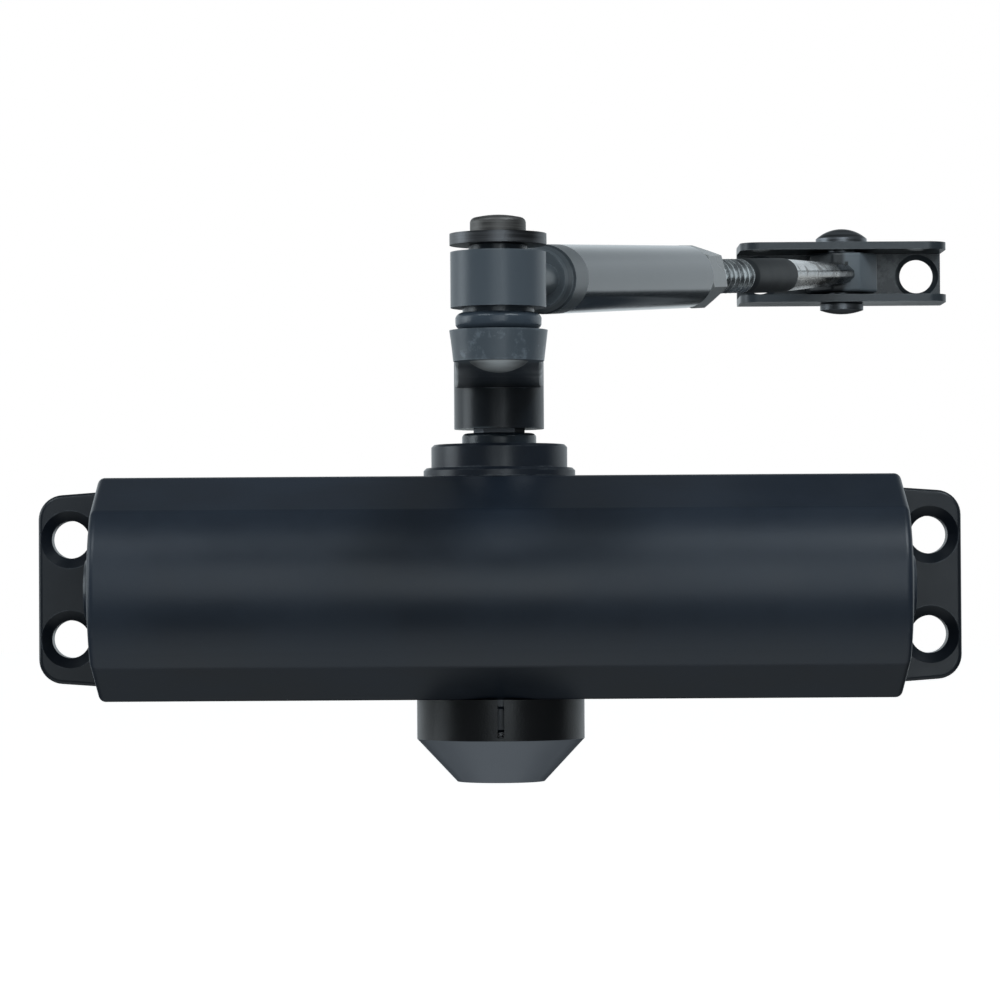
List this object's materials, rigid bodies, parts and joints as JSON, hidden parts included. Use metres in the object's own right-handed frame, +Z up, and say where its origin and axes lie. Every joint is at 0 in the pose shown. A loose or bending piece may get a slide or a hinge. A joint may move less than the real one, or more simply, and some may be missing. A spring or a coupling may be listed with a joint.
{
  "type": "surface door closer",
  "caption": "Surface door closer: cast rack-and-pinion body with screw flanges, folding arm with adjustable rod, and a frame shoe.",
  "frame": {"origin": "middle of the four screw holes of the body, on the plane of the door's face", "axes": "+X along the body towards the frame shoe's side, +Y into the door, +Z up"},
  "size_m": [0.176, 0.207, 0.1034],
  "materials": {
    "body_paint": "semi-gloss anthracite coat",
    "collar_paint": "semi-gloss anthracite coat",
    "arm_paint": "semi-gloss anthracite coat",
    "tube_paint": "semi-gloss anthracite coat",
    "shoe_paint": "semi-gloss anthracite coat",
    "black_oxide": "blackened, oiled",
    "nut_finish": "grey coated",
    "rod_steel": "zinc plated thread, dark shank",
    "plug_steel": "semi-gloss anthracite coat",
    "turned_steel": "turned and ground",
    "ball_steel": "polished",
    "spring_steel": "oiled",
    "piston_iron": "turned",
    "bearing_bronze": "turned",
    "cover_plastic": "fine grained",
    "ring_plastic": "smooth",
    "seal_plastic": "smooth",
    "seal_rubber": "smooth"
  },
  "bodies": {
    "housing": {"closer_body": "body_paint", "left_end_plug": "plug_steel", "right_end_plug": "plug_steel", "left_plug_seal": "seal_rubber", "right_plug_seal": "seal_rubber", "upper_bearing_cap": "collar_paint", "lower_bearing_cap": "collar_paint", "upper_bearing": "bearing_bronze", "lower_bearing": "bearing_bronze", "upper_shaft_seal": "seal_rubber", "lower_shaft_seal": "seal_rubber", "dust_ring": "ring_plastic", "spindle_cover": "cover_plastic", "closing_spring": "spring_steel", "latch_valve_seal": "seal_rubber", "sweep_valve_seal": "seal_rubber"},
    "sweep_screw": {"sweep_valve": "turned_steel"},
    "latch_screw": {"latch_valve": "turned_steel"},
    "piston_group": {"piston": "piston_iron", "piston_seal": "seal_plastic", "check_retainer": "turned_steel"},
    "ball": {"check_ball": "ball_steel"},
    "arm": {"pinion_shaft": "turned_steel", "main_arm": "arm_paint", "arm_washer": "black_oxide", "arm_screw": "black_oxide", "elbow_pin": "black_oxide", "elbow_washer": "black_oxide", "elbow_ring": "ring_plastic"},
    "forearm": {"forearm_tube": "tube_paint", "elbow_bush": "ring_plastic"},
    "nut": {"lock_nut": "nut_finish"},
    "rod": {"adjusting_rod": "rod_steel"},
    "shoe": {"shoe_bracket": "shoe_paint", "shoe_rivet": "black_oxide"}
  },
  "joints": [
    {"name": "pinion_turn", "type": "hinge", "parent": "housing", "child": "arm", "pos_m": [0, -0.03, 0], "axis": [0, 0, 1], "range_deg": [0, 165], "stiffness_Nm_per_rad": 2.5, "springref_deg": -166.16},
    {"name": "piston_slide", "type": "slide", "parent": "housing", "child": "piston_group", "axis": [1, 0, 0], "range_m": [0, 0.0192], "deforming": ["closing_spring"]},
    {"name": "check_lift", "type": "slide", "parent": "piston_group", "child": "ball", "axis": [-1, 0, 0], "range_m": [0, 0.0014]},
    {"name": "sweep_adjust", "type": "hinge", "parent": "housing", "child": "sweep_screw", "pos_m": [-0.0728, -0.014, 0.009], "axis": [1, 0, 0], "range_deg": [-360, 360]},
    {"name": "latch_adjust", "type": "hinge", "parent": "housing", "child": "latch_screw", "pos_m": [-0.0728, -0.014, -0.009], "axis": [1, 0, 0], "range_deg": [-360, 360]},
    {"name": "elbow_turn", "type": "hinge", "parent": "arm", "child": "forearm", "pos_m": [0, -0.2, 0.04415], "axis": [0, 0, 1], "continuous": true},
    {"name": "nut_turn", "type": "hinge", "parent": "forearm", "child": "nut", "pos_m": [0.03066, -0.10994, 0.05119], "axis": [0.3214, 0.9441, 0.0738], "continuous": true},
    {"name": "rod_adjust", "type": "slide", "parent": "forearm", "child": "rod", "axis": [0.3214, 0.9441, 0.0738], "range_m": [-0.026, 0.024]},
    {"name": "shoe_turn", "type": "hinge", "parent": "rod", "child": "shoe", "pos_m": [0.06536, -0.008, 0.05915], "axis": [0, 0, 1], "range_deg": [-85, 47]}
  ],
  "couplings": [
    {"joint": "piston_slide", "follows": "pinion_turn", "m_per_rad": 0.0066}
  ]
}
